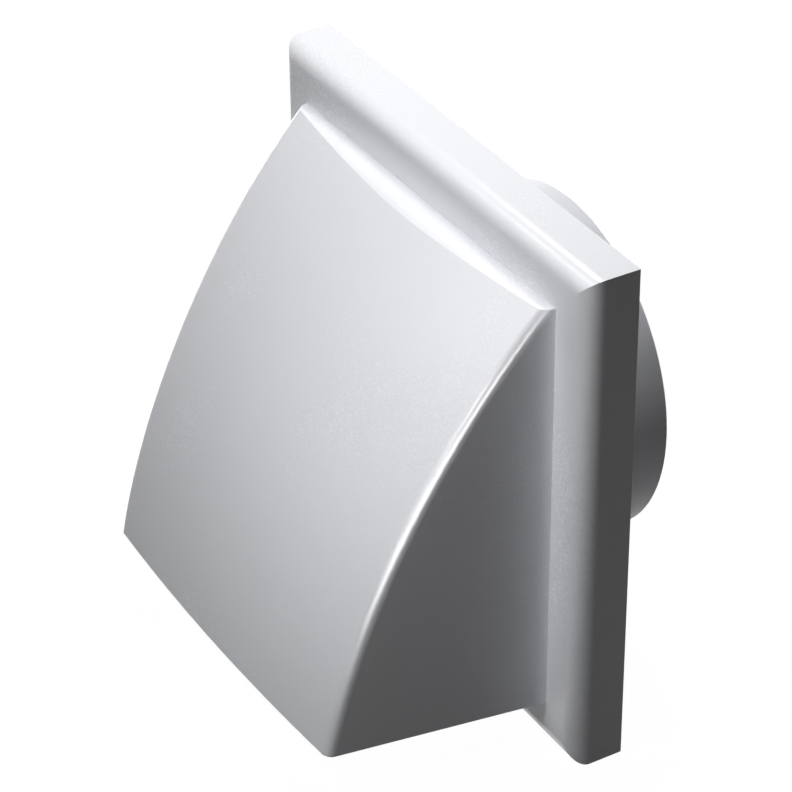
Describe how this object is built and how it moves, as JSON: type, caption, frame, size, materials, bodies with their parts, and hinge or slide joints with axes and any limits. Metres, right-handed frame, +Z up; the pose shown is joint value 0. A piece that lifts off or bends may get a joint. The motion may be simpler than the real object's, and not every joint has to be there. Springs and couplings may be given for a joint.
{
  "type": "ventilation hood",
  "caption": "White wall ventilation hood with a square frame, a curved cowl open below, a round duct spigot and a gravity flap inside.",
  "frame": {"origin": "centre of the square frame and of the duct spigot, in the wall plane", "axes": "+Y into the wall along the spigot, +Z up, +X to the right seen from the front"},
  "size_m": [0.187, 0.139, 0.187],
  "materials": {
    "cowl_plastic": "satin moulded",
    "plate_plastic": "satin moulded",
    "flap_plastic": "fine matt moulded",
    "steel": "bright drawn",
    "seal_rubber": "matt",
    "foam": "closed-cell foam"
  },
  "bodies": {
    "housing": {"cowl": "cowl_plastic", "base_plate": "plate_plastic", "flap_pin": "steel", "pin_clip": "steel", "flap_seal": "seal_rubber", "wall_gasket": "foam", "cowl_screws": "steel"},
    "flap": {"flap": "flap_plastic"}
  },
  "joints": [
    {"name": "flap_hinge", "type": "hinge", "parent": "housing", "child": "flap", "pos_m": [0, -0.006, 0.0695], "axis": [-1, 0, 0], "range_deg": [0, 35]}
  ]
}
